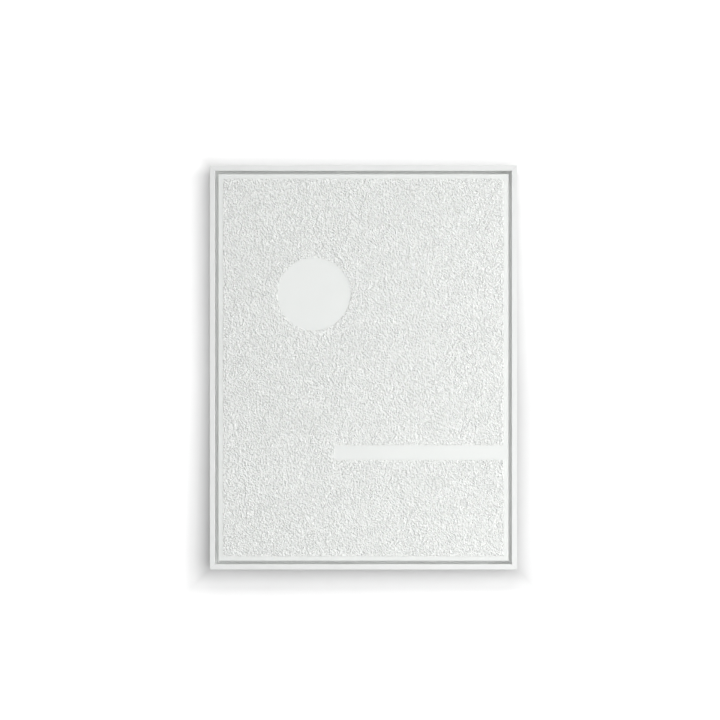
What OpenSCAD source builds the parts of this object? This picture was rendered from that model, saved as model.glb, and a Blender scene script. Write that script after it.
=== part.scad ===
// Floating canvas frame: a tray frame that holds a stretched canvas with a shadow gap all round.
// The canvas carries a coat of textured plaster, and hinged rings on the back hang it on a wall.
// The origin is the middle of the wall plane, +Z is up and the front faces -Y.
// A depth is a distance from the wall towards the front.
// What repeats on the four sides is drawn for the top side, then turned to its own.

/* [Canvas] */
// Width of the stretcher under the cloth
canvas_w = 600; // [460:10:800]
// Height of the stretcher under the cloth
canvas_h = 800; // [660:10:1100]
// Thickness of the primed cloth
cloth_t = 0.6; // [0.4:0.1:1]
// Width of the cloth folded over the back of the stretcher
turnover_w = 36; // [32:1:42]
// Length of a staple's crown
staple_crown = 10; // [8:0.5:12]
// Length of a staple's legs under the crown
staple_leg = 7; // [6:0.5:8]
// Width of the staple wire
staple_wire_w = 1.2; // [0.9:0.1:1.5]
// Thickness of the staple wire
staple_wire_t = 0.6; // [0.4:0.1:0.8]
// Staples along the top and along the bottom
staples_across = 7; // [5:1:9]
// Staples along each upright side, an even number that keeps clear of the cross bar's mortise
staples_down = 10; // [8:2:12]

/* [Plaster] */
// Thickness of the plaster coat
plaster_t = 1.8; // [1:0.2:3]
// Bare cloth left round the plaster coat
plaster_margin = 10; // [6:1:20]
// Diameter of the smooth disc left free of plaster
disc_d = 150; // [100:5:180]
// Length of the smooth band left free of plaster
band_l = 350; // [250:10:400]
// Height of the smooth band
band_h = 30; // [20:1:45]

/* [Stretcher] */
// Width of a stretcher bar
bar_w = 45; // [43:1:54]
// Thickness of a stretcher bar at its lip
bar_t = 18; // [17:0.5:24]
// Width of the raised lip that carries the cloth
lip_w = 6; // [4:0.5:10]
// Step down behind the lip
lip_drop = 1.5; // [1:0.25:2]
// Drop of the bar's front at its inner edge, so that the cloth hangs clear
inner_drop = 3; // [2.5:0.25:3.5]
// Radius of the lip's outer edge
lip_r = 2; // [1:0.25:3]
// Wood behind the two layers of corner tongues
tongue_back = 4.5; // [3.5:0.25:5]
// Thickness of a corner tongue and of a key
tongue_t = 3.5; // [3:0.1:3.8]
// Gap between a tongue's end and the outer edge of the bar that it passes through
tongue_end_gap = 0.5; // [0.2:0.1:2]
// Length of a key
key_l = 38; // [32:1:44]
// Width of a key at its thick end
key_w = 14; // [8:1:16]
// Length of a key that stands out of its slot
key_proud = 9; // [5:1:12]
// Width of the cross bar
cross_bar_w = 45; // [40:1:60]
// Thickness of the cross bar
cross_bar_t = 14; // [13:0.25:15]
// Radius of the cross bar's front edges
cross_bar_r = 1.5; // [0.5:0.25:2]
// Width of the cross bar's tenons
tenon_w = 30; // [20:1:36]
// Length of the cross bar's tenons
tenon_l = 25; // [18:1:32]
// Clearance round tongues, tenons and keys
joint_fit = 0.1; // [0.05:0.05:0.3]

/* [Frame] */
// Open gap between the canvas and the frame's wall
shadow_gap = 6; // [4:0.5:12]
// Width of the frame's face
face_w = 11; // [8:0.5:18]
// Thickness of the ledge behind the canvas
ledge_t = 10; // [9.5:0.5:14]
// Width of the ledge under the stretcher bars
ledge_reach = 20; // [16:1:24]
// Distance from the plaster's face back from the frame's face
face_recess = 2; // [0.5:0.25:6]
// Radius that eases the frame's long edges
edge_r = 0.8; // [0.4:0.1:2]
// Length of a corner nail's leg
v_nail_leg = 6; // [5:0.5:7]
// Length of the turned lip at each end of a corner nail
v_nail_lip = 1.2; // [0.8:0.1:1.6]
// Thickness of a corner nail
v_nail_t = 0.6; // [0.4:0.1:0.8]
// Length of a corner nail into the wood
v_nail_h = 7; // [5:0.5:8.5]

/* [Screws] */
// Diameter of the screws that hold the canvas
fixing_d = 3.5; // [3:0.25:4]
// Head diameter of the screws that hold the canvas
fixing_head_d = 7; // [6:0.25:8]
// Length of these screws in the stretcher bars
fixing_bite = 10; // [7:0.5:13]
// Diameter of the hanger screws
strap_screw_d = 3; // [2.5:0.25:3.5]
// Head diameter of the hanger screws
strap_screw_head_d = 6; // [5:0.25:7]
// Head height of the hanger screws
strap_screw_head_h = 1.6; // [1.2:0.1:2]
// Length of the hanger screws in the wood
strap_screw_bite = 8; // [6:0.5:9]
// Clearance round screws, staples and corner nails
screw_fit = 0.1; // [0.05:0.05:0.2]

/* [Hangers] */
// Width of a hanger's strap
strap_w = 10; // [8:0.5:12]
// Thickness of the strap's steel, which is folded double
strap_t = 0.8; // [0.6:0.05:1]
// Distance below the ring's bar at which the strap has narrowed to its double thickness
strap_neck = 4; // [3:0.25:4.5]
// Wire diameter of a ring
ring_wire = 2.4; // [2:0.1:2.7]
// Inner width of a ring
ring_w = 16; // [15:0.5:20]
// Inner height of a ring
ring_h = 14; // [13:0.5:20]
// Radial clearance of a ring in its eye
ring_fit = 0.08; // [0.05:0.01:0.1]
// Gap between a ring and the surface that it lies against
ring_gap = 0.3; // [0.2:0.05:0.5]

/* [Bumpers] */
// Height of a wall bumper, which sets the frame's distance from the wall
bumper_h = 5; // [4.9:0.1:8]
// Diameter of a wall bumper
bumper_d = 12; // [9:0.5:16]
// Radius round a bumper's wall end
bumper_r = 1.5; // [0.5:0.25:2.5]
// Distance of a bumper from the frame's upright side
bumper_inset = 60; // [50:5:120]

/* [Hidden] */
$fn = 64;

// How far a cut runs past the surface that it opens
overrun = 1;
// The sides as seen from the front, a quarter turn apart
SIDES = ["top", "right", "bottom", "left"];

// Places as shares of the size that they follow
disc_x_share = -0.17;
disc_z_share = 0.19;
band_z_share = -0.22;
fixing_share = 0.325;
hanger_drop_share = 0.25;
v_nail_shares = [0.24, 0.7];
// Drive recess and point of a screw, as shares of its head's or its own diameter
recess_w_share = 0.16;
recess_l_share = 0.58;
recess_h_share = 0.2;
tip_share = 0.2;
head_round_share = 0.6;

// Sizes across the front
cloth_w = canvas_w + 2 * cloth_t;
cloth_h = canvas_h + 2 * cloth_t;
base_w = face_w + shadow_gap + cloth_t + ledge_reach;
frame_w = cloth_w + 2 * (shadow_gap + face_w);
frame_h = cloth_h + 2 * (shadow_gap + face_w);
plaster_w = cloth_w - 2 * plaster_margin;
plaster_h = cloth_h - 2 * plaster_margin;
pocket_w = canvas_w - 2 * bar_w;

// Depths from the wall
back_d = bumper_h;
ledge_d = back_d + ledge_t;
bar_d = ledge_d + cloth_t;
cloth_d = bar_d + bar_t;
plaster_d = cloth_d + cloth_t;
face_d = plaster_d + plaster_t + face_recess;
rear_tongue_d = bar_d + tongue_back;
mid_tongue_d = rear_tongue_d + tongue_t;
front_tongue_d = mid_tongue_d + tongue_t;

// Places of the fasteners
staple_inset = (ledge_reach + turnover_w) / 2;
first_staple = bar_w + key_w + staple_crown;
fixing_l = ledge_t + cloth_t + fixing_bite;
fixing_inset = ledge_reach / 2;

// The hanger: its eye lies against the frame's back, and the ring turns in it
eye_hole_r = ring_wire / 2 + ring_fit;
eye_r = eye_hole_r + strap_t;
strap_rear = eye_r - 2 * strap_t;
ring_arc_r = (ring_w + ring_wire) / 2;
ring_reach = ring_h + ring_wire;
hanger_d = back_d - eye_r;
hanger_x = (frame_w - base_w) / 2;
hanger_z = frame_h / 2 - hanger_drop_share * frame_h;
upper_screw = (eye_r + ring_reach - ring_wire / 2) / 2;
lower_screw = ring_reach + ring_wire / 2 + ring_gap + strap_screw_head_d / 2;
strap_l = lower_screw + strap_w / 2;
ring_lean = asin((eye_r - ring_wire / 2 - ring_gap) / ring_reach);

function turns(side) = [for (i = [0 : len(SIDES) - 1]) if (SIDES[i] == side) i][0];
function upright(side) = turns(side) % 2 == 1;
function side_half(side, w, h) = upright(side) ? w / 2 : h / 2;
function side_run(side, w, h) = upright(side) ? h : w;
function staple_count(side) = upright(side) ? staples_down : staples_across;

// Turns what is drawn for the top side to the side that is named
module on_side(side) {
    rotate([0, 90 * turns(side), 0]) children();
}

// Plate between two depths, from a front view drawn in X and Z
module slab(d0, d1) {
    rotate([90, 0, 0]) translate([0, 0, d0]) linear_extrude(d1 - d0) children();
}

// Rail along X, from a section drawn as distance down from Z = 0 and depth
module along_x(run) {
    rotate([180, 90, 0]) linear_extrude(run, center = true) children();
}

// What is cut away to round a corner at the origin, with the solid towards +X and +Y
module corner_waste(r) {
    difference() {
        translate([-overrun, -overrun]) square(r + overrun);
        translate([r, r]) circle(r);
    }
}

// Rectangle centred on X, from one depth to another, with its two front corners rounded
module round_fronted(w, d0, d1, r) {
    difference() {
        translate([-w / 2, d0]) square([w, d1 - d0]);
        for (turn = [0, 1]) mirror([turn, 0]) translate([w / 2, d1]) rotate(180) corner_waste(r);
    }
}

// Trapezium with 45 degree ends: the front view of a mitred rail on the top side
module mitred_plan(run, half, w) {
    polygon([
        [-run / 2, half], [run / 2, half],
        [run / 2 - w, half - w], [w - run / 2, half - w]
    ]);
}

// Block whose four front edges are rounded and meet at mitres
module soft_block(w, h, d0, d1, r) {
    intersection() {
        along_x(w) round_fronted(h, d0, d1, r);
        on_side("right") along_x(h) round_fronted(w, d0, d1, r);
    }
}

// The frame's section: a wall at the outer edge and a ledge behind the canvas
module rail_section() {
    difference() {
        union() {
            translate([0, back_d]) square([face_w, face_d - back_d]);
            translate([0, back_d]) square([base_w, ledge_t]);
        }
        translate([0, back_d]) corner_waste(edge_r);
        translate([0, face_d]) mirror([0, 1]) corner_waste(edge_r);
        translate([face_w, face_d]) rotate(180) corner_waste(edge_r);
        translate([base_w, ledge_d]) rotate(180) corner_waste(edge_r);
    }
}

module frame_rail(side) {
    run = side_run(side, frame_w, frame_h);
    half = side_half(side, frame_w, frame_h);
    color("white") difference() {
        on_side(side) intersection() {
            translate([0, 0, half]) along_x(run) rail_section();
            slab(back_d, face_d) mitred_plan(run, half, base_w);
        }
        fixing_bores();
        strap_screw_bores();
        v_nails(screw_fit);
    }
}

// One leg of a corner nail along -X, with its end turned out
module v_nail_leg_plan(grow) {
    translate([-v_nail_leg, -v_nail_t / 2 - grow]) square([v_nail_leg + grow, v_nail_t + 2 * grow]);
    translate([-v_nail_leg, 0]) rotate(-45)
        translate([-v_nail_lip - grow, -v_nail_t / 2 - grow])
            square([v_nail_lip + v_nail_t / 2 + grow, v_nail_t + 2 * grow]);
}

// Corner nails in pairs across each mitre, each with its point towards the outer corner
module v_nails(grow) {
    for (x = [0, 1], z = [0, 1], share = v_nail_shares)
        mirror([x, 0, 0]) mirror([0, 0, z])
            slab(grow > 0 ? back_d - overrun : back_d, back_d + v_nail_h + grow)
                translate([frame_w / 2 - share * base_w, frame_h / 2 - share * base_w]) {
                    v_nail_leg_plan(grow);
                    mirror([1, -1]) v_nail_leg_plan(grow);
                }
}

module corner_v_nails() {
    color("slategray") v_nails(0);
}

// A stretcher bar's section: flat back, raised lip at the outer edge and a front that falls away
module bar_section() {
    difference() {
        translate([0, bar_d]) polygon([
            [0, 0], [bar_w, 0], [bar_w, bar_t - inner_drop],
            [lip_w + lip_drop, bar_t - lip_drop], [lip_w, bar_t], [0, bar_t]
        ]);
        translate([0, cloth_d]) mirror([0, 1]) corner_waste(lip_r);
    }
}

// Slot at a bar's end for its neighbour's tongue, with a slanted end that the key bears on
module tongue_slot_plan(run, half) {
    slot_end = run / 2 - bar_w - joint_fit;
    key_tip = half - bar_w - key_proud + key_l;
    for (turn = [0, 1]) mirror([turn, 0]) polygon([
        [run / 2 + overrun, half + overrun], [slot_end, half + overrun], [slot_end, key_tip],
        [slot_end - key_w, key_tip - key_l], [run / 2 + overrun, key_tip - key_l]
    ]);
}

// Bar with a mitre at each end, a tongue in one layer of depth and a slot in the other
module stretcher_bar(side) {
    run = side_run(side, canvas_w, canvas_h);
    half = side_half(side, canvas_w, canvas_h);
    tongue_d = upright(side) ? rear_tongue_d + joint_fit : mid_tongue_d;
    slot_d = upright(side) ? mid_tongue_d : rear_tongue_d;
    color("burlywood") difference() {
        on_side(side) difference() {
            intersection() {
                translate([0, 0, half]) along_x(run) bar_section();
                union() {
                    slab(bar_d, cloth_d) mitred_plan(run, half, bar_w);
                    slab(tongue_d, tongue_d + tongue_t - joint_fit)
                        translate([tongue_end_gap - run / 2, half - bar_w])
                            square([run - 2 * tongue_end_gap, bar_w]);
                }
            }
            slab(slot_d, slot_d + tongue_t) tongue_slot_plan(run, half);
            staple_slots(side);
        }
        fixing_bores();
        if (upright(side)) cross_bar_mortises();
    }
}

// Front view of a key, with its straight edge on X = 0 and its thick end standing out at Z = 0
module key_plan() {
    polygon([[0, key_proud], [-key_w, key_proud], [0, key_proud - key_l]]);
}

// Plate as thick as a key, clear of the faces of its tongue's layer
module key_slab(d) {
    slab(d + joint_fit, d + tongue_t - joint_fit) children();
}

// Two keys at each corner: one on each tongue's inner edge, in that tongue's layer
module corner_keys() {
    color("wheat") for (x = [0, 1], z = [0, 1]) mirror([x, 0, 0]) mirror([0, 0, z])
        translate([canvas_w / 2 - bar_w, 0, canvas_h / 2 - bar_w]) {
            key_slab(rear_tongue_d) mirror([0, 1]) key_plan();
            key_slab(mid_tongue_d) mirror([1, -1]) mirror([0, 1]) key_plan();
        }
}

module cross_bar_mortises() {
    mortise_w = pocket_w + 2 * (tenon_l + tongue_end_gap);
    slab(mid_tongue_d, front_tongue_d)
        square([mortise_w, tenon_w + 2 * joint_fit], center = true);
}

// Level bar between the upright bars, with a tenon and a key's slot at each end
module stretcher_cross_bar() {
    tenoned_w = pocket_w + 2 * tenon_l;
    color("burlywood") difference() {
        union() {
            along_x(pocket_w) round_fronted(cross_bar_w, bar_d, bar_d + cross_bar_t, cross_bar_r);
            slab(mid_tongue_d, front_tongue_d - joint_fit)
                square([tenoned_w, tenon_w], center = true);
        }
        for (turn = [0, 1]) mirror([turn, 0, 0])
            slab(rear_tongue_d, mid_tongue_d) translate([pocket_w / 2, cross_bar_w / 2]) polygon([
                [overrun, key_proud - key_l], [-joint_fit, key_proud - key_l],
                [-key_w - joint_fit, key_proud], [overrun, key_proud]
            ]);
    }
}

module cross_bar_keys() {
    color("wheat") for (turn = [0, 1]) mirror([turn, 0, 0])
        key_slab(rear_tongue_d) translate([pocket_w / 2, cross_bar_w / 2]) key_plan();
}

// Cloth over the front and edges of the stretcher, folded over on its back
module canvas_cloth() {
    color("ivory") difference() {
        soft_block(cloth_w, cloth_h, ledge_d, plaster_d, lip_r + cloth_t);
        soft_block(canvas_w, canvas_h, bar_d, cloth_d, lip_r - cloth_t / 2);
        slab(ledge_d - overrun, bar_d + overrun)
            square([canvas_w - 2 * turnover_w, canvas_h - 2 * turnover_w], center = true);
        fixing_bores();
        for (side = SIDES) on_side(side) staple_slots(side);
    }
}

// Repeats what is drawn for one staple along the top side, for the length of the side named
module at_staples(side) {
    run = side_run(side, canvas_w, canvas_h) - 2 * first_staple;
    count = staple_count(side);
    for (i = [0 : count - 1])
        translate([run * (i / (count - 1) - 1 / 2), 0, side_half(side, canvas_w, canvas_h) - staple_inset])
            children();
}

module staple_legs(d0, d1, grow) {
    for (turn = [-1, 1])
        slab(d0, d1) translate([turn * (staple_crown - staple_wire_t) / 2, 0])
            square([staple_wire_t + 2 * grow, staple_wire_w + 2 * grow], center = true);
}

module staple_slots(side) {
    at_staples(side) staple_legs(ledge_d - overrun, ledge_d + staple_leg + screw_fit, screw_fit);
}

module canvas_staples() {
    color("silver") for (side = SIDES) on_side(side) at_staples(side) {
        slab(ledge_d - staple_wire_t, ledge_d)
            square([staple_crown, staple_wire_w], center = true);
        staple_legs(ledge_d - staple_wire_t, ledge_d + staple_leg, 0);
    }
}

// Plaster trowelled over a stencil: a disc and a band are left smooth
module plaster_coat() {
    color("whitesmoke") slab(plaster_d, plaster_d + plaster_t) difference() {
        square([plaster_w, plaster_h], center = true);
        translate([disc_x_share * canvas_w, disc_z_share * canvas_h]) circle(d = disc_d);
        translate([plaster_w / 2 - band_l, band_z_share * canvas_h - band_h / 2])
            square([band_l + overrun, band_h]);
    }
}

// Two screws a side, through the ledge into the stretcher
module at_fixings() {
    for (side = SIDES, turn = [-1, 1]) on_side(side)
        translate([
            turn * fixing_share * side_run(side, canvas_w, canvas_h),
            -back_d,
            side_half(side, canvas_w, canvas_h) - fixing_inset
        ])
            rotate([90, 0, 0]) children();
}

// Cross-shaped drive recess, cut into a screw's head along +Z
module drive_recess(head_d) {
    for (turn = [0, 90]) rotate(turn)
        translate([-recess_l_share * head_d / 2, -recess_w_share * head_d / 2, -overrun])
            cube([
                recess_l_share * head_d, recess_w_share * head_d,
                recess_h_share * head_d + overrun
            ]);
}

// Plain shank with a short point, from Z = 0
module shank(d, l) {
    cylinder(d = d, h = l - d);
    translate([0, 0, l - d]) cylinder(d1 = d, d2 = tip_share * d, h = d);
}

module canvas_fixing_screws() {
    color("goldenrod") at_fixings() difference() {
        union() {
            cylinder(d1 = fixing_head_d, d2 = fixing_d, h = (fixing_head_d - fixing_d) / 2);
            shank(fixing_d, fixing_l);
        }
        drive_recess(fixing_head_d);
    }
}

// Bores for these screws, countersunk in the ledge's back
module fixing_bores() {
    at_fixings() {
        translate([0, 0, -overrun]) cylinder(
            d1 = fixing_head_d + 2 * (screw_fit + overrun), d2 = fixing_d + 2 * screw_fit,
            h = (fixing_head_d - fixing_d) / 2 + overrun
        );
        translate([0, 0, -overrun]) cylinder(d = fixing_d + 2 * screw_fit, h = fixing_l + 2 * overrun);
    }
}

// Draws what belongs to one hanger, about its ring's pivot
module at_hanger(turn) {
    translate([turn * hanger_x, -hanger_d, hanger_z]) children();
}

// Side view of a strap: the eye round the ring's bar, and the strip folded double below it
module strap_section() {
    difference() {
        union() {
            circle(eye_r);
            translate([0, strap_rear]) square([strap_l, 2 * strap_t]);
            polygon([[0, -eye_hole_r], [strap_neck, strap_rear], [strap_neck, eye_r], [0, eye_r]]);
        }
        circle(eye_hole_r);
    }
}

module hanger_strap(turn) {
    color("silver") at_hanger(turn) difference() {
        intersection() {
            along_x(strap_w) strap_section();
            slab(-eye_r, eye_r) {
                translate([-strap_w / 2, -lower_screw]) square([strap_w, lower_screw + eye_r]);
                translate([0, -lower_screw]) circle(d = strap_w);
            }
        }
        for (drop = [upper_screw, lower_screw]) translate([0, 0, -drop])
            slab(-eye_r - overrun, eye_r + overrun) circle(d = strap_screw_d + 2 * screw_fit);
    }
}

// Wire bent to a D, with its straight bar on the X axis
module ring_shape() {
    bar_half = ring_arc_r - ring_wire;
    rotate([0, 90, 0]) cylinder(d = ring_wire, h = 2 * bar_half, center = true);
    translate([0, 0, ring_reach - ring_arc_r]) rotate([90, 0, 0])
        rotate_extrude(angle = 180) translate([ring_arc_r, 0]) circle(d = ring_wire);
    for (turn = [0, 1]) mirror([turn, 0, 0]) {
        translate([ring_arc_r, 0, ring_wire])
            cylinder(d = ring_wire, h = ring_reach - ring_arc_r - ring_wire);
        translate([bar_half, 0, ring_wire]) rotate([90, 0, 0]) rotate(270)
            rotate_extrude(angle = 90) translate([ring_wire, 0]) circle(d = ring_wire);
    }
}

module hanger_ring(turn) {
    color("gainsboro") at_hanger(turn) rotate([ring_lean, 0, 0]) ring_shape();
}

// Draws what belongs to one hanger screw, from the strap's rear face towards the front
module at_strap_screws() {
    for (turn = [-1, 1], drop = [upper_screw, lower_screw])
        at_hanger(turn) translate([0, -strap_rear, -drop]) rotate([90, 0, 0]) children();
}

module hanger_screws() {
    color("silver") at_strap_screws() difference() {
        union() {
            translate([0, 0, -strap_screw_head_h]) rotate_extrude() difference() {
                square([strap_screw_head_d / 2, strap_screw_head_h]);
                translate([strap_screw_head_d / 2, 0]) mirror([1, 0])
                    corner_waste(head_round_share * strap_screw_head_h);
            }
            shank(strap_screw_d, 2 * strap_t + strap_screw_bite);
        }
        translate([0, 0, -strap_screw_head_h]) drive_recess(strap_screw_head_d);
    }
}

module strap_screw_bores() {
    at_strap_screws() cylinder(
        d = strap_screw_d + 2 * screw_fit,
        h = 2 * strap_t + strap_screw_bite + screw_fit
    );
}

// Soft bumper on the back of the bottom rail, rounded where it meets the wall
module wall_bumper(turn) {
    color("darkgray")
        translate([turn * (frame_w / 2 - bumper_inset), -back_d, (base_w - frame_h) / 2])
            rotate([-90, 0, 0]) rotate_extrude() difference() {
                square([bumper_d / 2, bumper_h]);
                translate([bumper_d / 2, bumper_h]) rotate(180) corner_waste(bumper_r);
            }
}

frame_rail("top");  // frame_top_rail
frame_rail("right");  // frame_right_rail
frame_rail("bottom");  // frame_bottom_rail
frame_rail("left");  // frame_left_rail
corner_v_nails();
stretcher_bar("top");  // stretcher_top_bar
stretcher_bar("right");  // stretcher_right_bar
stretcher_bar("bottom");  // stretcher_bottom_bar
stretcher_bar("left");  // stretcher_left_bar
stretcher_cross_bar();
corner_keys();
cross_bar_keys();
canvas_cloth();
canvas_staples();
plaster_coat();
canvas_fixing_screws();
hanger_strap(-1);  // hanger_strap_left
hanger_strap(1);  // hanger_strap_right
hanger_ring(-1);  // hanger_ring_left
hanger_ring(1);  // hanger_ring_right
hanger_screws();
wall_bumper(-1);  // wall_bumper_left
wall_bumper(1);  // wall_bumper_right
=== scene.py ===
"""Looks of the floating canvas frame: plaster relief, stretched cloth, finishes, light and camera.

Lengths are in metres. The origin is the middle of the wall plane, +Z is up and the front faces -Y.
"""

import math

import bmesh
import bpy
import numpy as np
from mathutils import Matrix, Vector


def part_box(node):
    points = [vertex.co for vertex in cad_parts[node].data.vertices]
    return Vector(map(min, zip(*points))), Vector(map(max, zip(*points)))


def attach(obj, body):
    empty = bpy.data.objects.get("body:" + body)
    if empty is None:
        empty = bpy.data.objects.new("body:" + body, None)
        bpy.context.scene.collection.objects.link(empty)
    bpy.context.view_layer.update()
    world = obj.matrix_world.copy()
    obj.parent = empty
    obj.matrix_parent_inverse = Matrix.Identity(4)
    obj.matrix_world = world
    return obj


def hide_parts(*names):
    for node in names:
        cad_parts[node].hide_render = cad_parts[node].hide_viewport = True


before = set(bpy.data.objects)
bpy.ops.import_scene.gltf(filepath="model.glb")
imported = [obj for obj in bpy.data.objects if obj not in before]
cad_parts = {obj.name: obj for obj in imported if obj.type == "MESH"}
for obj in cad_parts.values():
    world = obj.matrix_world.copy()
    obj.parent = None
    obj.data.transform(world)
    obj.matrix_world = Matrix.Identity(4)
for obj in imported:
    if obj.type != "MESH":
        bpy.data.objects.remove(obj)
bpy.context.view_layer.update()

MM = 0.001
QUARTER_TURN = math.pi / 2
SIDES = 4
SEED = 417

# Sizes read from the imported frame
rail_low, rail_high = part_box("frame_right_rail")
FRAME_HALF_X = rail_high.x
FRAME_HALF_Z = rail_high.z
FACE_Y = rail_low.y
RAIL_BACK_Y = rail_high.y
cloth_low, cloth_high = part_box("canvas_cloth")
CLOTH_HALF_X = cloth_high.x
CLOTH_HALF_Z = cloth_high.z
CLOTH_FRONT_Y = cloth_low.y
CLOTH_BACK_Y = cloth_high.y
plaster_low, plaster_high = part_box("plaster_coat")
PLASTER_HALF_X = plaster_high.x
PLASTER_HALF_Z = plaster_high.z
PLASTER_FRONT_Y = plaster_low.y

# The cloth, as in the part's source
CLOTH_T = 0.6 * MM
TURNOVER = 36.6 * MM
FRONT_EDGE_R = 2.6 * MM
BACK_EDGE_R = 0.9 * MM
CORNER_R = 2.2 * MM

# The layout of the plaster, as in the part's source
DISC_X = -0.102
DISC_Z = 0.152
DISC_R = 0.075
BAND_LENGTH = 0.35
BAND_LOW_X = PLASTER_HALF_X - BAND_LENGTH
BAND_LOW_Z = -0.191
BAND_HIGH_Z = -0.161

# Where a noise mostly lies between zero and one
NOISE_LOW = 0.3
NOISE_HIGH = 0.7

# The mix node's sockets for colours
MIX_SHARE = 0
MIX_A = 6
MIX_B = 7
MIX_RESULT = 2


def opaque(value):
    """A colour with its alpha, or anything else as it is."""
    return (*value, 1.0) if isinstance(value, tuple) else value


class Nodes:
    """The node tree of one material or of the world."""

    def __init__(self, owner):
        owner.use_nodes = True
        self.owner = owner
        self.tree = owner.node_tree
        self.tree.nodes.clear()

    def feed(self, socket, value):
        """Links a socket to the one that gives its value, or sets it to a plain value."""
        if isinstance(value, bpy.types.NodeSocket):
            self.tree.links.new(value, socket)
        else:
            socket.default_value = value

    def add(self, kind, settings=None, inputs=None):
        """A new node with its settings and inputs."""
        node = self.tree.nodes.new(kind)
        for key, value in (settings or {}).items():
            setattr(node, key, value)
        for key, value in (inputs or {}).items():
            self.feed(node.inputs[key], value)
        return node

    def math(self, operation, a, b=0.0, c=0.0):
        """The result of one operation on up to three numbers."""
        return self.add("ShaderNodeMath", {"operation": operation}, {0: a, 1: b, 2: c}).outputs[0]

    def own_place(self):
        """The place on the piece, in its own coordinates."""
        return self.add("ShaderNodeTexCoord").outputs["Object"]

    def axes(self):
        """X, Y and Z of the place on the piece."""
        return tuple(self.add("ShaderNodeSeparateXYZ", None, {0: self.own_place()}).outputs)

    def noise(self, wavelength, detail=2.0, roughness=0.5, stretch=(1, 1, 1), shift=(0, 0, 0)):
        """Noise over the piece. Its waves are longer along an axis whose stretch is below one."""
        place = self.add(
            "ShaderNodeMapping",
            {"vector_type": "POINT"},
            {"Vector": self.own_place(), "Scale": stretch, "Location": shift},
        ).outputs[0]
        return self.add(
            "ShaderNodeTexNoise",
            None,
            {"Vector": place, "Scale": 1 / wavelength, "Detail": detail, "Roughness": roughness},
        ).outputs["Fac"]

    def span(self, value, low, high, to_low=0.0, to_high=1.0, smooth=False):
        """The value between low and high, laid out between two other numbers and held at them."""
        return self.add(
            "ShaderNodeMapRange",
            {"interpolation_type": "SMOOTHSTEP" if smooth else "LINEAR"},
            {"Value": value, "From Min": low, "From Max": high, "To Min": to_low, "To Max": to_high},
        ).outputs[0]

    def across(self, noise, to_low=0.0, to_high=1.0):
        """The middle range of a noise, laid out between two other numbers."""
        return self.span(noise, NOISE_LOW, NOISE_HIGH, to_low, to_high)

    def blend(self, share, a, b):
        """Colour a where the share is zero, and colour b where it is one."""
        node = self.add("ShaderNodeMix", {"data_type": "RGBA"})
        self.feed(node.inputs[MIX_SHARE], share)
        self.feed(node.inputs[MIX_A], opaque(a))
        self.feed(node.inputs[MIX_B], opaque(b))
        return node.outputs[MIX_RESULT]

    def bump(self, height, depth, under=None):
        """A bump whose height runs from zero to one over the depth, on the bump under it."""
        inputs = {"Height": height, "Distance": depth, "Strength": 1.0}
        if under is not None:
            inputs["Normal"] = under
        return self.add("ShaderNodeBump", None, inputs).outputs[0]

    def surface(self, shader):
        """The material, finished with this shader."""
        self.add("ShaderNodeOutputMaterial", None, {"Surface": shader})
        return self.owner

    def principled(self, **sockets):
        """The finished material. A socket's name has _ for each space."""
        inputs = {key.replace("_", " "): opaque(value) for key, value in sockets.items()}
        return self.surface(self.add("ShaderNodeBsdfPrincipled", None, inputs).outputs[0])


def new_material(name):
    """The empty node tree of a new material."""
    return Nodes(bpy.data.materials.new(name))


# Paint: where the tray's inside starts, from its outer sides
INSIDE_FROM = 10.6 * MM

# How far from the face and the back the painted light in the tray starts, and where behind the face it is
# whole
TRAY_LIGHT_FROM = 1.5 * MM
TRAY_LIGHT_AT = 4 * MM

# The hairline at a mitre, to each side: its open half and the end of its eased edge
HAIRLINE_HALF = 0.12 * MM
HAIRLINE_END = 0.4 * MM

# The grain that shows through, with its stretch in the level and the upright rails
PAINT_GRAIN = 1.1 * MM
LEVEL_GRAIN_STRETCH = (0.03, 1, 1)
UPRIGHT_GRAIN_STRETCH = (1, 1, 0.03)

PAINT_TONES = ((0.795, 0.807, 0.798), (0.812, 0.822, 0.814))
# Painted light: the paler tone inside the tray, which lightens the shadow gap
TRAY_LIGHT_TONE = (0.945, 0.955, 0.945)
GRAIN_TONE = (0.78, 0.79, 0.775)
HAIRLINE_TONE = (0.42, 0.42, 0.41)


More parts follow.
